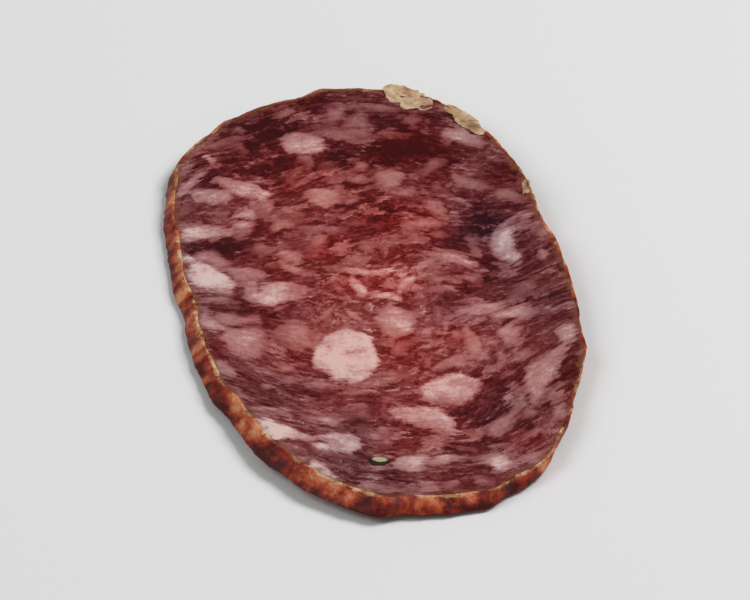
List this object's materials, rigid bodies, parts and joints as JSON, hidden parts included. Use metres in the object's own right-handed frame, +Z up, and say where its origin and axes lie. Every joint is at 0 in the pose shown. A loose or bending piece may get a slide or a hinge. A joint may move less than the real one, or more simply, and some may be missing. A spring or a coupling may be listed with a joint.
{
  "type": "cured sausage slice",
  "caption": "Thin oval slice of dry-cured sausage, cut on the bias, with a slanted rind wall and a rim that curls slightly off the surface.",
  "frame": {"origin": "on the surface it lies on, under the middle of the slice's box", "axes": "+Z up out of the top cut face, +Y along the oval's long way, +X across it"},
  "size_m": [0.0504, 0.0936, 0.0033],
  "materials": {
    "cured_meat": "marbled dark red lean with pale pink fat, slightly greasy sheen, thin tan to orange-brown rind round the edge"
  },
  "bodies": {
    "root": {"sausage_slice": "cured_meat"}
  },
  "joints": []
}
